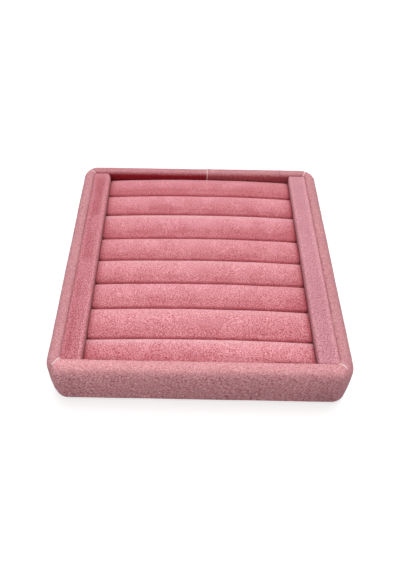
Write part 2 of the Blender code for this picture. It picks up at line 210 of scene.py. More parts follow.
# The other stuffs: colours of the ground and the flecks, a fleck's size, how the flecks are drawn out, how
# much their pores show, the height of their relief, and the sheen
STUFFS = {
    "open_cell_foam": ((0.86, 0.84, 0.76), (0.62, 0.58, 0.46), 0.0009, (1, 1, 1), 0.7, 0.0003, 0),
    "flocked_lining": ((0.62, 0.25, 0.31), (0.45, 0.15, 0.20), 0.0009, (1, 1, 1), 0, 0.0001, 0.3),
    "fibreboard": ((0.46, 0.33, 0.21), (0.27, 0.18, 0.11), 0.0012, (1, 1, 3), 0.3, 0.0001, 0),
    "grey_card": ((0.60, 0.57, 0.52), (0.40, 0.38, 0.34), 0.0016, (1, 0.4, 2), 0.3, 0.0001, 0),
}


def length(name, default, description, **limits):
    """A length property with enough digits for cloth and foam."""
    return FloatProperty(
        name=name, default=default, description=description, unit="LENGTH", precision=5, **limits
    )


def share(name, default, description, **limits):
    return FloatProperty(name=name, default=default, description=description, precision=3, **limits)


def angle(name, default, description):
    return FloatProperty(name=name, default=default, description=description, subtype="ANGLE")


def direction(name, default, description):
    return FloatVectorProperty(name=name, default=default, description=description, subtype="DIRECTION")


def colour(name, default, description):
    return FloatVectorProperty(
        name=name, default=default, description=description, size=3, subtype="COLOR", min=0, max=1
    )


class TRAY_PG_velvet(bpy.types.PropertyGroup):
    """Colours and pile of the velvet, and the cloth's thickness."""

    # The light and dark colours are mixed by the mask of nap and painted light, so they also stand as lit and
    # shaded copies of each velvet
    rim_light: colour("Rim, with the nap", (0.84, 0.38, 0.41), "Rim velvet brushed to its light side")
    rim_dark: colour("Rim, against the nap", (0.40, 0.165, 0.185), "Rim velvet brushed to its dark side")
    roll_light: colour("Rolls, with the nap", (0.86, 0.35, 0.40), "Roll velvet brushed to its light side")
    roll_dark: colour("Rolls, against the nap", (0.64, 0.185, 0.215), "Roll velvet brushed to its dark side")
    left_strip_light: colour("Left strip, with the nap", (0.70, 0.27, 0.31), "Left strip's light side")
    left_strip_dark: colour("Left strip, against the nap", (0.49, 0.12, 0.15), "Left strip's dark side")
    right_strip_light: colour("Right strip, with the nap", (0.75, 0.35, 0.40), "Right strip's light side")
    right_strip_dark: colour("Right strip, against the nap", (0.54, 0.20, 0.25), "Right strip's dark side")
    # Colour of the painted shade where walls face each other: down the grooves, at the roll ends and on the
    # rim's inner walls
    deep: colour("Deep in the pile", (0.30, 0.011, 0.02), "Where walls face each other")
    # Pale colour of the raw cut edges, and of the painted highlight along the rolls' rear shoulders
    pale: colour("Pale backing", (1.0, 0.72, 0.72), "Backing that shows at a cut and through bent pile")
    thickness: length("Cloth thickness", 0.0007, "Velvet with its backing", min=0.0001)
    patch_size: length("Patch size", 0.014, "Size of the patches brushed the other way", min=0.001)
    grain_size: length("Grain size", 0.0005, "Size of the pebbly grain of the pile", min=0.0002)
    tuft_size: length("Tuft size", 0.0004, "Size of the finest tufts", min=0.0001)
    grain_height: length("Grain height", 0.00035, "Relief of the pebbly grain", min=0)
    graininess: share("Graininess", 1.0, "How much lighter the grain's tops are than its hollows", min=0)
    sheen: share("Sheen", 0.35, "Strength of the pile's pale sheen", min=0, max=1)
    sheen_roughness: share("Sheen roughness", 0.4, "Spread of the sheen", min=0, max=1)


class TRAY_PG_rim(bpy.types.PropertyGroup):
    """Shape of the padded rim."""

    corner_radius: length(
        "Corner radius", RIM_THICKNESS + INNER_CORNER_RADIUS, "Rounding of the outer corners in plan", min=0
    )
    outer_edge_radius: length("Outer edge radius", 0.0052, "Rounding along the outer top edge", min=0)
    inner_edge_radius: length("Inner edge radius", 0.0015, "Rounding along the inner top edge", min=0)
    bottom_edge_radius: length("Bottom edge radius", 0.003, "Rounding along the foot of the rim", min=0)
    unevenness: length("Unevenness", 0.00014, "How far the padding swells and dips", min=0)
    swell_size: length("Swell size", 0.016, "Length of the swells in the padding", min=0.001)
    lap_height: length("Lap height", 0.00038, "Step where one cut edge laps over another", min=0)
    lap_spread: length("Lap spread", 0.004, "Width over which a lap sinks back", min=0.0005)
    raw_edge_width: length("Raw edge width", 0.0006, "Width of the cut edge that shows", min=0.0001)
    lap_offset: length("Lap seam offset", 0.0054, "Place of the rear lap seam, right of the middle")
    seam_gap: length("Seam gap", 0.0001, "Gap between the velvet's two cut ends at the seam", min=0)
    crease_depth: length("Crease depth", 0.00015, "Depth of the crease below a corner's cut", min=0)
    side_step: length("Side step", 0.0022, "Spacing of the rim's mesh along the sides", min=0.0002)
    outline_step: length("Outline step", 0.0009, "Spacing of the rim's mesh across it", min=0.0002)
    corner_steps: IntProperty(name="Corner steps", default=45, min=4, description="Mesh steps in a corner")


class TRAY_PG_roll(bpy.types.PropertyGroup):
    """Shape of the foam rolls and their velvet."""

    crown_rise: length("Crown rise", 0.0028, "Height of the crown over the sides", min=0.0005)
    crown_fullness: share("Crown fullness", 3.2, "Power of the crown's curve: 2 is an ellipse", min=1)
    end_sag: length("End sag", 0.002, "How far the crest falls towards the ends", min=0)
    end_round_length: length("End round length", 0.0012, "Length of the rounding at an end", min=0.0001)
    end_round_drop: length("End round drop", 0.0006, "Drop of the rounding at an end", min=0)
    end_draw_in: length("End draw-in", 0.0002, "How far the sides draw in at the ends", min=0)
    end_corner_radius: length("End corner radius", 0.0006, "Rounding of the upright corners", min=0.0001)
    slack: length("Slack", 0.0002, "How much smaller the velvet starts before it swells", min=0)
    pressure: share("Pressure", 60, "Pressure of the foam against the velvet while it swells", min=0)
    cap: length("Swell cap", 0.0004, "The furthest that a point of the velvet may move", min=0)
    frames: IntProperty(name="Frames", default=20, description="Length of the cloth simulation", min=1)
    unevenness: length("Unevenness", 0.00018, "How far the foam swells and dips along a roll", min=0)
    swell_size: length("Swell size", 0.018, "Length of the swells in the foam", min=0.001)
    # The pale stretches are the painted highlight along a roll's rear shoulder
    highlight_size: length("Pale size", 0.02, "Length of the pale stretches along a rear shoulder", min=0.001)
    end_shade_length: length("End shade length", 0.0012, "How far an end is shaded", min=0.0001)


class TRAY_PG_strip(bpy.types.PropertyGroup):
    """Shape of the two flat strips beside the rolls."""

    edge_radius: length("Edge radius", 0.0007, "Rounding of the strip's edges", min=0.0001)
    rear_corner_radius: length("Rear corner radius", 0.0032, "Left strip's corner by the rolls", min=0)
    unevenness: length("Unevenness", 0.00007, "How far the velvet swells and dips on the lath", min=0)
    swell_size: length("Swell size", 0.012, "Length of the swells in the velvet", min=0.001)


class TRAY_PG_stage(bpy.types.PropertyGroup):
    """Camera, lamps and floor."""

    camera_place: FloatVectorProperty(
        name="Camera place", default=(-0.00763, -0.25149, 0.29262), size=3, subtype="XYZ", unit="LENGTH",
        precision=5, description="Where the camera stands",
    )
    camera_pitch: angle("Camera pitch", math.radians(48.6), "Angle below the horizon")
    camera_yaw: angle("Camera yaw", -0.01, "Turn to the right of straight ahead")
    camera_roll: angle("Camera roll", 0.01, "Tilt about the line of sight")
    focal_length: share("Focal length", 35.825, "Lens in millimetres on a 36 mm long side", min=1)
    shift_across: share("Shift across", 0.0286, "Lens shift across, as a share of the long side")
    shift_up: share("Shift up", -0.0169, "Lens shift up, as a share of the long side")
    floor_size: length("Floor size", 4.0, "Side of the floor", min=0.5)
    floor_colour: colour("Floor colour", (0.60, 0.60, 0.60), "Colour of the floor")
    floor_height: length("Floor height", -0.0002, "Just under the tray's foot")
    floor_glow: share("Floor glow", 0.62, "Light that only the camera sees on the floor", min=0, max=1)
    world_light: share("World light", 0.42, "Strength of the light from all round", min=0)
    top_light: share("Top light", 1.7, "Strength of the lamp above and behind the tray", min=0)
    top_spread: angle("Top spread", math.radians(50), "How broad the lamp above looks from the tray")
    top_from: direction("Top from", (0.1, 0.45, 1.0), "Direction of the lamp above")
    side_light: share("Side light", 0.5, "Strength of the lamp at the front left", min=0)
    side_spread: angle("Side spread", math.radians(60), "How broad the side lamp looks from the tray")
    side_from: direction("Side from", (-0.6, -1.0, 0.9), "Direction of the side lamp")


SETTINGS = {
    "tray_velvet": TRAY_PG_velvet,
    "tray_rim": TRAY_PG_rim,
    "tray_roll": TRAY_PG_roll,
    "tray_strip": TRAY_PG_strip,
    "tray_stage": TRAY_PG_stage,
}


# Arrays and meshes


def smooth_noise(points, feature_size, seed):
    """Value noise from -1 to 1: seeded random values on a cubic lattice, joined by a smooth step."""
    cells = 32
    table = np.random.default_rng(seed).uniform(-1, 1, (cells, cells, cells))
    scaled = np.asarray(points) / feature_size
    cell = np.floor(scaled).astype(int)
    part = scaled - cell
    part = part * part * (3 - 2 * part)
    total = np.zeros(scaled.shape[:-1])
    for corner in np.ndindex(2, 2, 2):
        weight = np.where(corner, part, 1 - part).prod(axis=-1)
        i, j, k = np.moveaxis((cell + corner) % cells, -1, 0)
        total += weight * table[i, j, k]
    return total


def smooth_step(start, end, values):
    """0 up to the start, 1 from the end on, and a cubic S curve between them. The end may be the lower."""
    part = np.clip((values - start) / (end - start), 0, 1)
    return part * part * (3 - 2 * part)


def step_sum(table, **measures):
    """A table's plain value and, for each of its steps, the gain times a smooth step of what is measured."""
    plain, *steps = table
    return plain + sum(gain * smooth_step(start, end, measures[name]) for name, start, end, gain in steps)


def grid_quads(rows, columns):
    """The quads between neighbouring points of a grid whose points are numbered row by row."""
    r, c = np.meshgrid(np.arange(rows - 1), np.arange(columns - 1), indexing="ij")
    first = r * columns + c
    return np.stack([first, first + columns, first + columns + 1, first + 1], axis=-1).reshape(-1, 4)


def grid_mesh(name, points, masks=()):
    """A mesh over a grid of points, with masks kept on the points for the materials."""
    quads = grid_quads(*points.shape[:2])
    mesh = bpy.data.meshes.new(name)
    mesh.vertices.add(points.size // 3)
    mesh.vertices.foreach_set("co", points.astype(np.float32).ravel())
    mesh.loops.add(quads.size)
    mesh.loops.foreach_set("vertex_index", quads.astype(np.int32).ravel())
    mesh.polygons.add(len(quads))
    mesh.polygons.foreach_set("loop_start", np.arange(0, quads.size, 4, dtype=np.int32))
    mesh.update(calc_edges=True)
    for mask_name, values in dict(masks).items():
        mask = mesh.attributes.new(mask_name, "FLOAT", "POINT")
        mask.data.foreach_set("value", np.broadcast_to(values, points.shape[:2]).astype(np.float32).ravel())
    return mesh


def weld(mesh, fill=False):
    """Joins points that lie on each other, drops faces left without area, and fills openings if asked."""
    shape = bmesh.new()
    shape.from_mesh(mesh)
    bmesh.ops.remove_doubles(shape, verts=shape.verts, dist=WELD_DISTANCE)
    if fill:
        bmesh.ops.edgeloop_fill(shape, edges=[edge for edge in shape.edges if edge.is_boundary])
        bmesh.ops.recalc_face_normals(shape, faces=shape.faces)
    shape.to_mesh(mesh)
    shape.free()


def points_of(mesh):
    points = np.empty(len(mesh.vertices) * 3, dtype=np.float32)
    mesh.vertices.foreach_get("co", points)
    return points.reshape(-1, 3).astype(float)


def add_piece(mesh, material, body, cad_node):
    """An object at the origin, named like its mesh, that rides on a body and stands for a CAD node."""
    piece = bpy.data.objects.new(mesh.name, mesh)
    bpy.context.scene.collection.objects.link(piece)
    mesh.shade_smooth()
    mesh.materials.append(material)
    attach(piece, body)
    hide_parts(cad_node)
    return piece


def add_cloth_thickness(piece, thickness):
    """Gives a cloth's outer surface its thickness, on the inner side."""
    wall = piece.modifiers.new("cloth", "SOLIDIFY")
    wall.thickness = thickness
    wall.offset = -1


def add_smoothing(piece):
    smooth = piece.modifiers.new("smooth", "SUBSURF")
    smooth.levels = smooth.render_levels = 1


# The rim's section, and the way it is carried round the tray


def quarter_arc(centre, radius, start_quarter, steps=12):
    """Points on a clockwise quarter circle, in (inset, height); quarters count from the inward direction."""
    turns = (start_quarter - np.linspace(0, 1, steps + 1)) * QUARTER_TURN
    return np.stack([centre[0] + radius * np.cos(turns), centre[1] + radius * np.sin(turns)], axis=-1)


def evenly_spaced(outline, spacing):
    """The outline again, with points at even distances along it."""
    along = np.concatenate([[0], np.cumsum(np.linalg.norm(np.diff(outline, axis=0), axis=1))])
    places = np.linspace(0, along[-1], math.ceil(along[-1] / spacing) + 1)
    return np.stack([np.interp(places, along, outline[:, axis]) for axis in (0, 1)], axis=-1)


def over_the_rim(rim, offset):
    """The rim's top moved in by an offset: the outer rounding and then the inner one."""
    outer, inner = rim.outer_edge_radius, rim.inner_edge_radius
    return np.concatenate([
        quarter_arc((outer, TOP - outer), outer - offset, 2),
        quarter_arc((RIM_THICKNESS - inner, TOP - inner), inner - offset, 1),
    ])


def velvet_outline(rim):
    """From the hem's inner edge under the tray, up the outer side, over the top and down to the floor."""
    foot = rim.bottom_edge_radius
    return evenly_spaced(np.concatenate([
        [(RIM_THICKNESS, 0)],
        quarter_arc((foot, foot), foot, 3),
        over_the_rim(rim, 0),
        [(RIM_THICKNESS, INNER_LOW)],
    ]), rim.outline_step)


def foam_outline(rim, under_velvet):
    """Foam over a rail: the velvet's outline moved in, and back round the rail that stands in it."""
    outer, inner = RAIL_INSET - CLEARANCE, RIM_THICKNESS - RAIL_INSET + CLEARANCE
    channel = [
        (RIM_THICKNESS - under_velvet, RAIL_LOW), (inner, RAIL_LOW), (inner, RAIL_TOP + CLEARANCE),
        (outer, RAIL_TOP + CLEARANCE), (outer, RAIL_LOW), (under_velvet, RAIL_LOW),
    ]
    return evenly_spaced(
        np.concatenate([[(under_velvet, RAIL_LOW)], over_the_rim(rim, under_velvet), channel]),
        rim.outline_step,
    )


def section_normals(outline):
    """Unit normals of an outline, to the left of its direction, in (inset, height)."""
    tangent = np.gradient(outline, axis=0)
    normal = np.stack([-tangent[:, 1], tangent[:, 0]], axis=-1)
    return normal / np.linalg.norm(normal, axis=1, keepdims=True)


def corner_centres(rim):
    """The centres of the rim's corners in plan, clockwise from above, from the rear right."""
    x, y = HALF_WIDTH - rim.corner_radius, HALF_DEPTH - rim.corner_radius
    return np.array([(x, y), (x, -y), (-x, -y), (-x, y)])


def round_the_tray(rim, seam_points=61, crowding=1.6):
    """Stations once round the tray, clockwise from above, from the rear lap seam and back to it.

    A station is a place on the rectangle through the corners' centres, an outward direction, and the
    index of its corner, or -1 on a side. Stations crowd towards the seam: the share of the way from it is
    an even share to the power of the crowding. The last one stops a gap before the first.
    """
    centres = corner_centres(rim)
    seam = np.array([rim.lap_offset, centres[0, 1]])
    crowded = np.linspace(0, 1, seam_points)[:, None] ** crowding
    turn = np.linspace(0, 1, rim.corner_steps + 1)[:-1]
    runs = [(seam + crowded[:-1] * (centres[0] - seam), 1, -1)]
    for index, centre in enumerate(centres):
        runs.append((np.repeat([centre], len(turn), axis=0), 1 - index - turn, index))
        if index < 3:
            way = centres[index + 1] - centre
            steps = math.ceil(np.linalg.norm(way) / rim.side_step)
            runs.append((centre + np.linspace(0, 1, steps + 1)[:-1, None] * way, -index, -1))
    seam[0] -= rim.seam_gap
    runs.append((seam + crowded[::-1] * (centres[3] - seam), -3, -1))
    places = np.concatenate([place for place, _, _ in runs])
    angles = np.concatenate([np.broadcast_to(turns, len(place)) for place, turns, _ in runs])
    corners = np.concatenate([np.full(len(place), index) for place, _, index in runs])
    return places, angles * QUARTER_TURN, corners


def carried(outline, places, angles, corner_radius):
    """Points and normals of an outline carried along stations: place + direction * (radius - inset).

    Then the insets from the front and rear faces are stretched, because the rim is thicker there.
    """
    direction = np.stack([np.cos(angles), np.sin(angles)], axis=-1)
    plan = places[None] + direction[None] * (corner_radius - outline[:, 0, None, None])
    even = [0, HALF_DEPTH - corner_radius, HALF_DEPTH]
    thicker = [0, HALF_DEPTH - corner_radius * END_STRETCH, HALF_DEPTH]
    plan[..., 1] = np.sign(plan[..., 1]) * np.interp(np.abs(plan[..., 1]), even, thicker)
    height = np.broadcast_to(outline[:, 1, None], plan.shape[:2])
    normal = section_normals(outline)
    plan_normal = -direction[None] * normal[:, 0, None, None]
    up_normal = np.broadcast_to(normal[:, 1, None], plan.shape[:2])
    return np.dstack([plan, height]), np.dstack([plan_normal, up_normal])


# Velvet over the rim


def past_the_cuts(rim, outline, angles, corners):
    """How far each point lies past its corner's cut, towards the side rail, and how far along the cut.

    A point's distance from the corner's diagonal is its radius times the sine of its angle from it. The
    cut's own distance is a parabola through its start, middle and end, at 0, 1/2 and 1 of its reach.
    """
    radius = (rim.corner_radius - outline[:, 0])[:, None]
    side, start, middle, end, reach = np.array(CUTS)[corners].T
    turned = (0.5 - corners) * QUARTER_TURN - angles
    along = radius / reach
    from_start = start * (1 - along) * (1 - 2 * along)
    cut = from_start + 4 * middle * along * (1 - along) + end * along * (2 * along - 1)
    past = radius * np.sin(turned) * side - cut
    return np.where(corners < 0, -1.0, past), along


def near_middle(angles, corners):
    """How near to its corner's diagonal each station is, from 0 at the corner's ends and on a side to 1."""
    past_middle = 2 * (0.5 - corners - angles / QUARTER_TURN)
    return np.where(corners < 0, 0.0, 1 - np.abs(past_middle))


def at_corners(values, corners):
    """Each station's value from the four corners' values, with 0 on the sides."""
    return np.array([*values, 0])[corners]


def rim_velvet_mesh(rim, finer=3, finer_share=0.5):
    """The rim's outline carried round the tray, moved along its normals by swells, laps and creases.

    A swell is smooth noise, with a share of a finer one. At a corner the side swells by half a sine wave, or
    its foot tucks in. A lap is a step at a cut or at the rear seam that sinks back over its spread.
    """
    outline = velvet_outline(rim)
    places, angles, corners = round_the_tray(rim)
    points, normals = carried(outline, places, angles, rim.corner_radius)
    height = points[..., 2]
    inner = (outline[:, 0] > RIM_THICKNESS / 2)[:, None]
    wall_top = smooth_step(*FREE_WALL, height)
    free = np.where(inner, wall_top, 1)
    noise_sum = smooth_noise(points, rim.swell_size, RIM_SEED)
    noise_sum += finer_share * smooth_noise(points, rim.swell_size / finer, RIM_SEED + 1)
    swell = rim.unevenness * smooth_step(FLAT_HEM, rim.bottom_edge_radius, height) * free * noise_sum
    near = ~inner * near_middle(angles, corners)
    swell += near * at_corners(CORNER_SWELLS, corners) * np.sin(math.pi * height / TOP)
    swell -= near * at_corners(CORNER_TUCKS, corners) * smooth_step(TOP / 2, 0, height)

    past, along = past_the_cuts(rim, outline, angles, corners)
    on_top = wall_top * smooth_step(*CUT_START, along) * smooth_step(*CUT_END, along)
    lap = on_top * smooth_step(*LAP_STEP, past) * smooth_step(rim.lap_spread, 0, past)
    edge = on_top * smooth_step(*CUT_EDGE, np.abs(past / rim.raw_edge_width - 0.5))
    crease = wall_top * smooth_step(*CREASE_START, along) * smooth_step(*CREASE_SIDES, np.abs(past))

    from_seam = places[:, 0] - rim.lap_offset
    right = np.isclose(angles, QUARTER_TURN) & (corners < 0)
    over_hem = right * smooth_step(*SEAM_START, height)
    lap += free * over_hem * smooth_step(rim.lap_spread, 0, from_seam)
    edge += over_hem * smooth_step(*SEAM_EDGE, from_seam / rim.raw_edge_width)
    points = points + normals * (swell + rim.lap_height * lap - rim.crease_depth * crease)[..., None]

    blur = BLUR * smooth_step(*BLUR_START, along)
    before_cut = smooth_step(NAP_CHANGE[0], NAP_CHANGE[1] + blur, -past)
    front = np.where((corners == 1) | (corners == 2), before_cut, np.isclose(angles, -QUARTER_TURN))
    rear_wall = inner & (np.sin(angles) > REARWARDS)
    # Painted shade down the inner walls, setting in nearer the top on the rear wall
    rear_shade = smooth_step(*REAR_SHADE, height) * np.where(right, RIGHT_REAR_SHADE, 1)
    deep = inner * np.where(rear_wall, rear_shade, smooth_step(*SIDE_SHADE, height))
    nap, grain = rim_pile(height, points[..., 0] / HALF_WIDTH, normals[..., 2], front, rear_wall)
    return grid_mesh("rim_velvet", points, {"nap": nap, "deep": deep, "pale": edge, "grain": grain})


def rim_pile(height, across, upwards, front, rear_wall):
    """Nap with painted shade, and grain, of the rim's velvet; the front's own take over from the sides' by
    its mask.
    """
    side_nap_and_shade = step_sum(SIDE_NAP_AND_SHADE, height=height, upwards=upwards)
    front_nap_and_shade = step_sum(FRONT_NAP_AND_SHADE, height=height, upwards=upwards) + FRONT_SHADE_RIGHT * across
    ends = smooth_step(*UPRIGHT_FACE, upwards) * smooth_step(*FRONT_ENDS, np.abs(across))
    nap = side_nap_and_shade + front * (front_nap_and_shade + FRONT_ENDS_GAIN * ends - side_nap_and_shade)
    nap += REAR_WALL_GAIN * rear_wall * smooth_step(*REAR_FACE, upwards)
    return nap, SIDE_GRAIN + front * (step_sum(FRONT_GRAIN, upwards=upwards) - SIDE_GRAIN)


def padding_mesh(name, rim, side, under_velvet, corner_steps=10, side_steps=38):
    """A closed outline of foam carried along one side, from the middle of one corner to the next one's.

    It stops just before the middle, so that the foams of two sides don't touch.
    """
    outline = foam_outline(rim, under_velvet)
    centres = corner_centres(rim)
    first, last = centres[side - 1], centres[side]
    turn = np.linspace(0, FOAM_TURN, corner_steps)
    middle = np.linspace(0, 1, side_steps + 2)[1:-1, None]
    start, end = (np.repeat([centre], corner_steps, axis=0) for centre in (first, last))
    places = np.concatenate([start, first + middle * (last - first), end])
    angles = 1 - side + np.concatenate([turn[::-1], np.zeros(side_steps), -turn])
    points, _ = carried(outline, places, angles * QUARTER_TURN, rim.corner_radius)
    mesh = grid_mesh(name, points)
    weld(mesh, fill=True)
    return mesh


# Bent sheets: the velvet over a roll or a strip is one sheet with a wall folded down on each side


def grain_of(points):
    """The pile is rougher towards the front: its grain falls evenly from front to rear."""
    return MIDDLE_GRAIN - REAR_GRAIN_LOSS * points[..., 1] / HALF_DEPTH


def with_walls(stations, steps=8):
    """The stations with walls folded down at both ends, and how far down its wall each one is."""
    down = np.linspace(1, 0, steps + 1)[:-1]
    stations = np.concatenate([np.full(steps, stations[0]), stations, np.full(steps, stations[-1])])
    return stations, np.concatenate([down, np.zeros(len(stations) - 2 * steps), down[::-1]])


def rounded_ends(radius, from_end):
    """How far a side draws in at a distance from a corner of the given radius: a quarter circle."""
    inside = np.clip(radius - from_end, 0, radius)
    return radius - np.sqrt(radius * radius - inside * inside)


def stations_along(half, crowded, steps, crowded_steps=8):
    """Stations from -half to half, crowded towards both ends in quarter-circle steps."""
    turn = np.linspace(0, QUARTER_TURN, crowded_steps + 1)[1:]
    end = half - crowded + crowded * np.sin(turn)
    return np.concatenate([-end[::-1], np.linspace(crowded - half, half - crowded, steps + 1), end])


def roll_mesh(name, box, roll, shrunk, seed, closed=False, brushing=(0, 0, 0, 0), open_side=0):
    """A roll's velvet: across, a flat side, a superellipse crown and a flat side; along, an even crest.

    Across, |y|^p + z^p = 1 in shares of the half width and the crown's rise. Along, the crest falls by the
    sag times the square of the share, and by a quarter ellipse near each end. Painted shade darkens the ends
    by two exponential falls. The mask of nap and painted light rises across the crown from the shaded front
    to the lit rear, and a painted highlight runs along the rear shoulder. The open side, 1 for rear and -1
    for front, has no roll beside it.
    """
    low, high = box
    half_x, half_y = (high.x - low.x) / 2 - shrunk, (high.y - low.y) / 2 - shrunk
    along, end_wall = with_walls(stations_along(half_x, roll.end_round_length, ROLL_STEPS))
    turn, side_wall = with_walls(np.linspace(math.pi, 0, CROWN_POINTS))
    power = 2 / roll.crown_fullness
    across = np.sign(np.cos(turn)) * np.abs(np.cos(turn)) ** power
    crown = np.clip(np.sin(turn), 0, 1) ** power

    from_end = half_x - np.abs(along)
    near_end = np.clip(1 - from_end / roll.end_round_length, 0, 1)
    drop = roll.end_sag * (along / half_x) ** 2 + roll.end_round_drop * (1 - np.sqrt(1 - near_end**2))
    top = high.z - shrunk - roll.crown_rise * (1 - crown) - drop[:, None]
    reach = half_y - roll.end_draw_in * (along / half_x) ** 4 - rounded_ends(roll.end_corner_radius, from_end)
    wall = np.maximum(end_wall[:, None], side_wall)
    x = np.broadcast_to(along[:, None], wall.shape)
    y = (high.y + low.y) / 2 + across * reach[:, None]
    points = np.dstack([x, y, low.z + (top - low.z) * (1 - wall)])
    swells = smooth_noise(points, roll.swell_size, seed) * smooth_step(*SWELLING_CROWN, crown)
    points[..., 2] += roll.unevenness * swells

    at_rear, at_front, to_right, highlight_strength = brushing
    # Painted light with the nap: the crown's rear lit and its front shaded
    front_nap_and_shade, rear_nap_and_light = ROLL_FRONT_NAP_AND_SHADE + at_front, ROLL_REAR_NAP_AND_LIGHT + at_rear
    nap = front_nap_and_shade + (rear_nap_and_light - front_nap_and_shade) * smooth_step(*CROWN_NAP_AND_LIGHT, across)
    nap = nap + to_right * (along / half_x)[:, None]
    # Painted highlight along the rear shoulder, in patches
    patch = smooth_step(*HIGHLIGHT_PATCH, smooth_noise(points, roll.highlight_size, seed + HIGHLIGHT_SEED))
    pale = highlight_strength * smooth_step(*HIGHLIGHT_SHOULDER, across) * (LEAST_HIGHLIGHT + (1 - LEAST_HIGHLIGHT) * patch)
    # Painted shade at the roll's ends, more at the right end
    fall = from_end / roll.end_shade_length
    end_shade = SHORT_SHADE * np.exp(-fall) + LONG_SHADE * np.exp(-fall / TIMES_LONGER)
    end_shade = end_shade * np.where(along > 0, RIGHT_END_GAIN, 1)
    # Painted shade down the walls, weaker on the open side
    wall_shade = np.where((side_wall > 0) & (np.sign(across) == open_side), OPEN_WALL_SHADE, 1)
    deep = np.maximum(wall_shade * smooth_step(*WALL_SHADE_SPAN, wall), end_shade[:, None])
    mesh = grid_mesh(name, points, {"nap": nap, "deep": deep, "pale": pale, "grain": grain_of(points)})
    weld(mesh, fill=closed)
    return mesh


def strip_mesh(name, box, strip, rear_radius, nap_and_highlight_of, seed):
    """A strip's velvet: a flat top whose edges fall by a quarter circle, with walls down to the foot.

    The inner side faces the rolls and has the given radius at its rear corner.
    """
    low, high = box
    radius, width, half_y = strip.edge_radius, high.x - low.x, (high.y - low.y) / 2
    inner_is_high = low.x < 0
    along, end_wall = with_walls(stations_along(half_y, STRIP_END, STRIP_STEPS, STRIP_END_STEPS))
    rounding = radius * (1 - np.cos(np.linspace(0, QUARTER_TURN, ROUNDING_POINTS)))
    flat = np.linspace(radius, width - radius, FLAT_STEPS + 1)[1:-1]
    across, side_wall = with_walls(np.concatenate([rounding, flat, width - rounding[::-1]]) / width)

    from_end = half_y - np.abs(along)
    outer_side = rounded_ends(radius, from_end)
    inner_side = rounded_ends(np.where(along > 0, rear_radius, radius), from_end)
    low_side, high_side = (outer_side, inner_side) if inner_is_high else (inner_side, outer_side)
    x_low, x_high = low.x + low_side[:, None], high.x - high_side[:, None]
    x = x_low + across * (x_high - x_low)
    edge = np.minimum(np.minimum(x - x_low, x_high - x), from_end[:, None])
    top = high.z - rounded_ends(radius, edge)
    wall = np.maximum(end_wall[:, None], side_wall)
    y = np.broadcast_to((high.y + low.y) / 2 + along[:, None], wall.shape)
    points = np.dstack([x, y, low.z + (top - low.z) * (1 - wall)])
    swells = (smooth_noise(points, strip.swell_size, seed) - 1) * smooth_step(radius / 2, 2 * radius, edge)
    points[..., 2] += strip.unevenness * swells

    from_inner = x_high - x if inner_is_high else x - x_low
    nap = nap_and_highlight_of(points, from_inner, x_high - x_low - from_inner)
    # Painted shade down the walls, full where they face the rolls
    faces_rolls = (side_wall > 0) & (from_inner < width / 2)
    deep = smooth_step(*WALL_SHADE_SPAN, wall) * np.where(faces_rolls, 1, OPEN_WALL_SHADE)
    mesh = grid_mesh(name, points, {"nap": nap, "deep": deep, "pale": 0.0, "grain": grain_of(points)})
    weld(mesh)
    return mesh


def left_strip_nap_and_highlight(points, from_inner, from_outer):
    """Light, darker at the front, with dark patches along the middle and a painted highlight by the inner
    edge.
    """
    patch = smooth_step(*LEFT_PATCH, smooth_noise(points * PATCH_SQUEEZE, PATCH_SIZE, PATCH_SEED))
    middle = smooth_step(*LEFT_MIDDLE, from_inner) * smooth_step(*LEFT_MARGIN, from_outer)
    front = smooth_step(*LEFT_FRONT, -points[..., 1])
    highlight_band_gain = HIGHLIGHT_BAND_GAIN + FRONT_HIGHLIGHT_GAIN * front
    nap = LEFT_NAP + FRONT_GAIN * front + PATCH_GAIN * patch * middle
    return nap + highlight_band_gain * smooth_step(*LEFT_HIGHLIGHT_BAND, from_inner)


def right_strip_nap_and_highlight(points, from_inner, from_outer):
    """Even and lighter at the rear, with painted highlights by the outer edge and, thinner, by the inner
    edge.
    """
    return step_sum(
        RIGHT_STRIP_NAP_AND_HIGHLIGHT, rearwards=points[..., 1], from_outer=from_outer, from_inner=from_inner
    )


def flat_cloth_mesh(name, box, seed):
    """A thin cloth that fills a box: its face is a flat height field with shallow waves of smooth noise."""
    low, high = box
    spans = (np.linspace(low[axis], high[axis], steps) for axis, steps in enumerate(LINING_POINTS))
    x, y = np.meshgrid(*spans, indexing="ij")
    from_edge = np.minimum(np.minimum(x - low.x, high.x - x), np.minimum(y - low.y, high.y - y))
    wave = LINING_WAVE * smooth_step(0, FLAT_MARGIN, from_edge)
    points = np.dstack([x, y, np.full_like(x, high.z)])
    points[..., 2] -= wave * (1 + smooth_noise(points, LINING_WAVE_SIZE, seed)) / 2
    return grid_mesh(name, points)


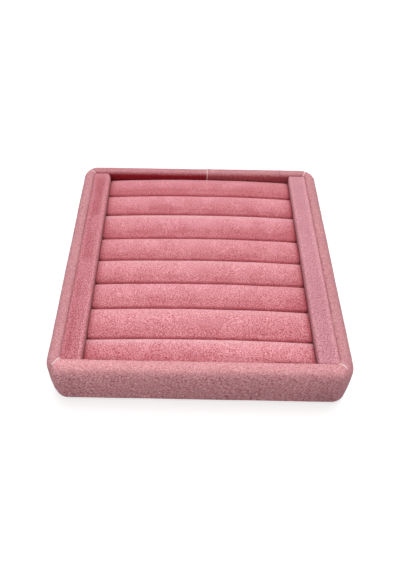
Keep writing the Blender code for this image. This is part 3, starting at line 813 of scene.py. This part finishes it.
def swell(pieces, roll, boxes):
    """Presses the velvet outwards like the foam inside it, with the foot held, and keeps the result.

    Each point moves by the simulated amount, at most the cap, and stays in the roll's own box.
    """
    scene = bpy.context.scene
    starts = []
    for piece in pieces:
        start = points_of(piece.data)
        foot = piece.vertex_groups.new(name=CLOTH["vertex_group_mass"])
        foot.add(np.flatnonzero(start[:, 2] < start[:, 2].min() + HELD_FOOT).tolist(), 1, "REPLACE")
        cloth = piece.modifiers.new("swell", "CLOTH")
        for setting, value in CLOTH.items():
            setattr(cloth.settings, setting, value)
        cloth.settings.uniform_pressure_force = roll.pressure
        cloth.settings.effector_weights.gravity = 0
        cloth.collision_settings.use_collision = False
        cloth.point_cache.frame_start = 1
        cloth.point_cache.frame_end = roll.frames
        starts.append(start)
    for frame_number in range(1, roll.frames + 1):
        scene.frame_set(frame_number)
    graph = bpy.context.evaluated_depsgraph_get()
    for piece, start, (low, high) in zip(pieces, starts, boxes):
        move = points_of(piece.evaluated_get(graph).data) - start
        size = np.linalg.norm(move, axis=1, keepdims=True)
        move *= np.minimum(1, roll.cap / np.maximum(size, LEAST_MOVE))
        most = np.array([high.x, high.y, high.z + roll.cap / 2])
        points = np.clip(start + move, np.array(low), most)
        piece.modifiers.remove(piece.modifiers["swell"])
        piece.vertex_groups.clear()
        piece.data.vertices.foreach_set("co", points.astype(np.float32).ravel())
        piece.data.update()
    scene.frame_set(1)


# Materials


def feed(tree, made, inputs):
    """Links a node's inputs to other sockets, or sets them to constants."""
    for socket, value in inputs.items():
        if isinstance(value, bpy.types.NodeSocket):
            tree.links.new(value, made.inputs[socket])
        else:
            made.inputs[socket].default_value = value


def node(tree, kind, inputs=None, **settings):
    """A shader node with its settings made and its inputs fed."""
    made = tree.nodes.new(kind)
    for setting, value in settings.items():
        setattr(made, setting, value)
    feed(tree, made, inputs or {})
    return made


def math_node(tree, operation, *values, clamp=False):
    inputs = dict(enumerate(values))
    return node(tree, "ShaderNodeMath", inputs, operation=operation, use_clamp=clamp).outputs[0]


def noise(tree, vector, scale, detail, roughness=0.5):
    inputs = {"Vector": vector, "Scale": scale, "Detail": detail, "Roughness": roughness}
    return node(tree, "ShaderNodeTexNoise", inputs).outputs["Fac"]


def stretched(tree, values, low, high):
    """Values from low to high mapped smoothly to 0 to 1."""
    inputs = {"Value": values, "From Min": low, "From Max": high}
    return node(tree, "ShaderNodeMapRange", inputs, interpolation_type="SMOOTHSTEP").outputs["Result"]


def mix_colours(tree, factor, first, second, blend="MIX"):
    """A mix of two colours, which are the mix node's inputs 6 and 7 and its output 2."""
    inputs = {0: factor, 6: first, 7: second}
    settings = {"data_type": "RGBA", "blend_type": blend, "clamp_factor": True}
    return node(tree, "ShaderNodeMix", inputs, **settings).outputs[2]


def new_group(name, kinds):
    """A shader node group with inputs listed by kind, its tree and its input node's outputs."""
    tree = bpy.data.node_groups.new(name, "ShaderNodeTree")
    for kind, sockets in kinds.items():
        for socket in sockets:
            tree.interface.new_socket(socket, in_out="INPUT", socket_type="NodeSocket" + kind)
    for socket, kind in (("Colour", "Color"), ("Roughness", "Float"), ("Normal", "Vector")):
        tree.interface.new_socket(socket, in_out="OUTPUT", socket_type="NodeSocket" + kind)
    return tree, tree.nodes.new("NodeGroupInput").outputs


def close_group(tree, colour_out, roughness, relief, distance):
    """Gives a group its outputs: the colour, the roughness and the normal of its relief."""
    bump = node(tree, "ShaderNodeBump", {"Height": relief, "Distance": distance, "Strength": 1.0})
    outputs = {"Colour": colour_out, "Roughness": roughness, "Normal": bump.outputs["Normal"]}
    node(tree, "NodeGroupOutput", outputs)
    return tree


def velvet_pile_group():
    """Velvet: brushed patches and streaks shift the nap between dark and light, under a pebbly grain.

    The relief is the grain with half of the tufts. The grain tint says how much it changes red, green and
    blue.
    """
    tree, given = new_group("velvet_pile", {
        "Vector": ("Vector", "Grain Vector", "Grain Tint"),
        "Color": ("Light", "Dark", "Deep", "Pale"),
        "Float": (
            "Nap", "Deep Mask", "Pale Mask", "Patches", "Streaks", "Patch Size", "Grain Size", "Tuft Size",
            "Graininess", "Grain Height",
        ),
    })

    def pattern(vector, size, detail, count=1):
        return noise(tree, given[vector], math_node(tree, "DIVIDE", count, given[size]), detail)

    def shift(values, middle, strength):
        return math_node(tree, "MULTIPLY", math_node(tree, "SUBTRACT", values, middle), given[strength])

    patch = stretched(tree, pattern("Vector", "Patch Size", 2), *PATCH_NOISE)
    streak = stretched(tree, pattern("Grain Vector", "Patch Size", 2, count=2), *STREAK_NOISE)
    tuft = pattern("Vector", "Tuft Size", 1)
    relief = math_node(tree, "MULTIPLY_ADD", tuft, TUFT_SHARE, pattern("Grain Vector", "Grain Size", 0.5))
    nap = math_node(tree, "ADD", given["Nap"], shift(patch, 0.5, "Patches"))
    nap = math_node(tree, "ADD", nap, shift(streak, 0.5, "Streaks"), clamp=True)
    pile = mix_colours(tree, nap, given["Dark"], given["Light"])
    # Painted shade where walls face each other, by its mask
    pile = mix_colours(tree, given["Deep Mask"], pile, given["Deep"])
    inputs = {0: shift(relief, MIDDLE_RELIEF, "Graininess"), 1: given["Grain Tint"], 2: (1, 1, 1)}
    grained = node(tree, "ShaderNodeVectorMath", inputs, operation="MULTIPLY_ADD").outputs[0]
    pile = mix_colours(tree, 1.0, pile, grained, "MULTIPLY")
    # Pale raw edges, and painted highlights on the rolls' rear shoulders
    pile = mix_colours(tree, given["Pale Mask"], pile, given["Pale"])
    roughness = math_node(tree, "MULTIPLY_ADD", tuft, *PILE_ROUGHNESS)
    return close_group(tree, pile, roughness, relief, given["Grain Height"])


def flecked_group():
    """A matt stuff with flecks or pores: stretched noise and cells mix two colours and give relief."""
    tree, given = new_group("flecked_stuff", {
        "Vector": ("Vector", "Stretch"), "Color": ("Ground", "Fleck"),
        "Float": ("Fleck Size", "Pores", "Relief"),
    })
    inputs = {0: given["Vector"], 1: given["Stretch"]}
    drawn = node(tree, "ShaderNodeVectorMath", inputs, operation="MULTIPLY").outputs[0]
    scale = math_node(tree, "DIVIDE", 1, given["Fleck Size"])
    fibre = stretched(tree, noise(tree, drawn, scale, 3, FIBRE_ROUGHNESS), *FIBRE_NOISE)
    cell = node(tree, "ShaderNodeTexVoronoi", {"Vector": drawn, "Scale": scale}).outputs["Distance"]
    pore = math_node(tree, "MULTIPLY", stretched(tree, cell, *PORE_CELLS), given["Pores"])
    flecked = math_node(tree, "MULTIPLY_ADD", fibre, FIBRE_SHARE, pore, clamp=True)
    mixed = mix_colours(tree, flecked, given["Fleck"], given["Ground"])
    roughness = math_node(tree, "MULTIPLY_ADD", fibre, *STUFF_ROUGHNESS)
    return close_group(tree, mixed, roughness, flecked, given["Relief"])


def opaque(rgb):
    return (*rgb, 1.0)


def new_material(name):
    """A material with a node tree, a Principled shader and Object coordinates."""
    material = bpy.data.materials.new(name)
    material.use_nodes = True
    shader = material.node_tree.nodes["Principled BSDF"]
    place = node(material.node_tree, "ShaderNodeTexCoord").outputs["Object"]
    return material, material.node_tree, shader, place


def connect(tree, shader, group_tree, inputs):
    """Feeds a material's shader from a group with the given inputs."""
    outputs = node(tree, "ShaderNodeGroup", inputs, node_tree=group_tree).outputs
    colours, roughness, normal = outputs["Colour"], outputs["Roughness"], outputs["Normal"]
    feed(tree, shader, {"Base Color": colours, "Roughness": roughness, "Normal": normal})


def velvet_material(part, velvet):
    """Short-pile velvet. Its grain is turned and then stretched, and the masks are the pieces' attributes."""
    material, tree, shader, place = new_material(f"{part}_velvet")
    patches, streaks, tint, turn, stretch = PILES[part]
    nap, deep, pale, grain = (
        node(tree, "ShaderNodeAttribute", attribute_name=mask).outputs["Fac"]
        for mask in ("nap", "deep", "pale", "grain")
    )
    inputs = {"Vector": place, "Rotation": turn, "Scale": stretch}
    drawn = node(tree, "ShaderNodeMapping", inputs, vector_type="TEXTURE").outputs[0]
    connect(tree, shader, bpy.data.node_groups.get("velvet_pile") or velvet_pile_group(), {
        "Vector": place, "Grain Vector": drawn, "Grain Tint": tint, "Patches": patches, "Streaks": streaks,
        "Light": opaque(getattr(velvet, f"{part}_light")), "Dark": opaque(getattr(velvet, f"{part}_dark")),
        "Deep": opaque(velvet.deep), "Pale": opaque(velvet.pale),
        "Nap": nap, "Deep Mask": deep, "Pale Mask": pale,
        "Patch Size": velvet.patch_size, "Grain Size": velvet.grain_size, "Tuft Size": velvet.tuft_size,
        "Graininess": math_node(tree, "MULTIPLY", grain, velvet.graininess),
        "Grain Height": velvet.grain_height,
    })
    feed(tree, shader, {
        "Specular IOR Level": VELVET_SPECULAR, "Sheen Weight": velvet.sheen,
        "Sheen Roughness": velvet.sheen_roughness, "Sheen Tint": SHEEN_TINT,
    })
    return material


def flecked_material(name):
    """Foam, lining, board or card, made once from its row in the table."""
    if name in bpy.data.materials:
        return bpy.data.materials[name]
    ground, fleck, size, stretch, pores, relief, sheen = STUFFS[name]
    material, tree, shader, place = new_material(name)
    connect(tree, shader, bpy.data.node_groups.get("flecked_stuff") or flecked_group(), {
        "Vector": place, "Ground": opaque(ground), "Fleck": opaque(fleck), "Fleck Size": size,
        "Stretch": stretch, "Pores": pores, "Relief": relief,
    })
    feed(tree, shader, {"Specular IOR Level": STUFF_SPECULAR, "Sheen Weight": sheen})
    return material


def dress(node_name, material):
    """Gives a CAD node that stays visible a better material."""
    cad_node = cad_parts[node_name]
    if not cad_node.material_slots:
        cad_node.data.materials.append(material)
    for material_slot in cad_node.material_slots:
        material_slot.material = material


# Operators


class TRAY_OT_rim(bpy.types.Operator):
    """Make the rim's velvet and the foam under it"""

    bl_idname = "tray.rim"
    bl_label = "Padded rim"

    def execute(self, context):
        rim, velvet = context.scene.tray_rim, context.scene.tray_velvet
        material = velvet_material("rim", velvet)
        piece = add_piece(rim_velvet_mesh(rim), material, "tray", "rim_cover")
        add_cloth_thickness(piece, velvet.thickness)
        foam = flecked_material("open_cell_foam")
        for side, name in enumerate(("rear", "right", "front", "left")):
            mesh = padding_mesh(f"{name}_foam", rim, side, velvet.thickness + CLEARANCE)
            add_piece(mesh, foam, "tray", f"{name}_padding")
        return {"FINISHED"}


class TRAY_OT_rolls(bpy.types.Operator):
    """Make the eight rolls, foam and velvet, and let the velvet swell"""

    bl_idname = "tray.rolls"
    bl_label = "Velvet rolls"

    def execute(self, context):
        roll, velvet = context.scene.tray_roll, context.scene.tray_velvet
        material, foam = velvet_material("roll", velvet), flecked_material("open_cell_foam")
        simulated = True
        shrunk = roll.slack if simulated else 0
        boxes = [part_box(f"roll_cover_{number}") for number in ROLLS]
        covers = []
        for number, box, brushing in zip(ROLLS, boxes, ROLL_BRUSHING):
            open_side = {ROLLS[0]: 1, ROLLS[-1]: -1}.get(number, 0)
            mesh = roll_mesh(
                f"roll_velvet_{number}", box, roll, shrunk, number, brushing=brushing, open_side=open_side
            )
            covers.append(add_piece(mesh, material, "insert", f"roll_cover_{number}"))
            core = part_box(f"roll_core_{number}")
            mesh = roll_mesh(f"roll_foam_{number}", core, roll, roll.slack, number, closed=True)
            add_piece(mesh, foam, "insert", f"roll_core_{number}")
        if simulated:
            swell(covers, roll, boxes)
        for cover in covers:
            cover.data.shade_smooth()
            add_smoothing(cover)
            add_cloth_thickness(cover, velvet.thickness)
        return {"FINISHED"}


class TRAY_OT_strips(bpy.types.Operator):
    """Make the velvet stretched over the two end strips"""

    bl_idname = "tray.strips"
    bl_label = "End strips"

    def execute(self, context):
        strip, velvet = context.scene.tray_strip, context.scene.tray_velvet
        sides = (
            ("left_strip", strip.rear_corner_radius, left_strip_nap_and_highlight),
            ("right_strip", strip.edge_radius, right_strip_nap_and_highlight),
        )
        for seed, (name, rear_radius, nap_and_highlight_of) in enumerate(sides, STRIP_SEED):
            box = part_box(f"{name}_cover")
            mesh = strip_mesh(f"{name}_velvet", box, strip, rear_radius, nap_and_highlight_of, seed)
            piece = add_piece(mesh, velvet_material(name, velvet), "insert", f"{name}_cover")
            add_cloth_thickness(piece, velvet.thickness)
        return {"FINISHED"}


class TRAY_OT_linings(bpy.types.Operator):
    """Make the two flocked linings, and finish the boards, rails, laths and card"""

    bl_idname = "tray.linings"
    bl_label = "Linings and boards"

    def execute(self, context):
        lining = flecked_material("flocked_lining")
        cloths = (("underside_lining", "base_sheet"), ("floor_lining_cloth", "floor_lining"))
        for seed, (name, cad_node) in enumerate(cloths, LINING_SEED):
            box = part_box(cad_node)
            size = box[1] - box[0]
            piece = add_piece(flat_cloth_mesh(name, box, seed), lining, "tray", cad_node)
            add_cloth_thickness(piece, size.z - LINING_ROOM)
        boards = ["base_board", "front_rail", "rear_rail", "left_rail", "right_rail"]
        for name in [*boards, "left_strip_core", "right_strip_core"]:
            dress(name, flecked_material("fibreboard"))
        dress("insert_board", flecked_material("grey_card"))
        return {"FINISHED"}


class TRAY_OT_stage(bpy.types.Operator):
    """Set up the floor, the lamps, the world and the camera"""

    bl_idname = "tray.stage"
    bl_label = "Stage"

    def execute(self, context):
        stage = context.scene.tray_stage
        add_floor(stage)
        add_world(context.scene, stage)
        add_lamp("top_lamp", stage.top_light, stage.top_spread, stage.top_from)
        add_lamp("side_lamp", stage.side_light, stage.side_spread, stage.side_from)
        add_camera(context.scene, stage)
        context.scene.view_settings.view_transform = "Standard"
        return {"FINISHED"}


def camera_rays(tree):
    """1 for what the camera sees directly, in a mirror or through glass, otherwise 0."""
    path = node(tree, "ShaderNodeLightPath").outputs
    seen = math_node(tree, "MAXIMUM", path["Is Camera Ray"], path["Is Glossy Ray"])
    return math_node(tree, "MAXIMUM", seen, path["Is Transmission Ray"])


def add_floor(stage):
    half = stage.floor_size / 2
    x, y = np.meshgrid((-half, 0, half), (-half, 0, half), indexing="ij")
    mesh = grid_mesh("floor", np.dstack([x, y, np.full_like(x, stage.floor_height)]))
    floor = bpy.data.objects.new("floor", mesh)
    bpy.context.scene.collection.objects.link(floor)
    material, tree, shader, _ = new_material("floor")
    glow = math_node(tree, "MULTIPLY", camera_rays(tree), stage.floor_glow)
    feed(tree, shader, {
        "Base Color": opaque(stage.floor_colour), "Roughness": 0.9, "Specular IOR Level": 0.0,
        "Emission Color": WHITE, "Emission Strength": glow,
    })
    mesh.materials.append(material)


def add_world(scene, stage):
    world = scene.world or bpy.data.worlds.new("world")
    scene.world = world
    world.use_nodes = True
    tree = world.node_tree
    light = math_node(tree, "MAXIMUM", camera_rays(tree), stage.world_light)
    feed(tree, tree.nodes["Background"], {"Color": WHITE, "Strength": light})


def add_lamp(name, strength, spread, towards_lamp):
    """A broad, even lamp far away, in the given direction from the tray."""
    lamp = bpy.data.objects.new(name, bpy.data.lights.new(name, "SUN"))
    lamp.data.energy = strength
    lamp.data.angle = spread
    lamp.rotation_euler = Vector(towards_lamp).to_track_quat("Z", "Y").to_euler()
    bpy.context.scene.collection.objects.link(lamp)


def add_camera(scene, stage):
    """A camera turned by its yaw, pitch and roll from looking along +Y."""
    camera = bpy.data.objects.new("camera", bpy.data.cameras.new("camera"))
    scene.collection.objects.link(camera)
    camera.data.lens = stage.focal_length
    camera.data.shift_x = stage.shift_across
    camera.data.shift_y = stage.shift_up
    camera.data.clip_start = 0.01
    turn = (
        Matrix.Rotation(-stage.camera_yaw, 4, "Z")
        @ Matrix.Rotation(QUARTER_TURN - stage.camera_pitch, 4, "X")
        @ Matrix.Rotation(stage.camera_roll, 4, "Z")
    )
    camera.matrix_world = Matrix.Translation(stage.camera_place) @ turn
    scene.camera = camera


class TRAY_PT_panel(bpy.types.Panel):
    """The tray's settings and the buttons that make its pieces"""

    bl_idname = "TRAY_PT_panel"
    bl_label = "Padded Velvet Display Tray"
    bl_space_type = "VIEW_3D"
    bl_region_type = "UI"
    bl_category = "Tray"

    def draw(self, context):
        for name, group in SETTINGS.items():
            box = self.layout.box()
            box.label(text=group.__doc__)
            for setting in group.__annotations__:
                box.prop(getattr(context.scene, name), setting)
        for operator in OPERATORS:
            self.layout.operator(operator.bl_idname)


OPERATORS = (TRAY_OT_rim, TRAY_OT_rolls, TRAY_OT_strips, TRAY_OT_linings, TRAY_OT_stage)
CLASSES = (*SETTINGS.values(), *OPERATORS, TRAY_PT_panel)


def register():
    for each in CLASSES:
        bpy.utils.register_class(each)
    for name, group in SETTINGS.items():
        setattr(bpy.types.Scene, name, PointerProperty(type=group))


def unregister():
    for name in SETTINGS:
        delattr(bpy.types.Scene, name)
    for each in reversed(CLASSES):
        bpy.utils.unregister_class(each)


def main():
    register()
    bpy.ops.tray.rim()
    bpy.ops.tray.rolls()
    bpy.ops.tray.strips()
    bpy.ops.tray.linings()
    bpy.ops.tray.stage()


if __name__ == "__main__":
    main()
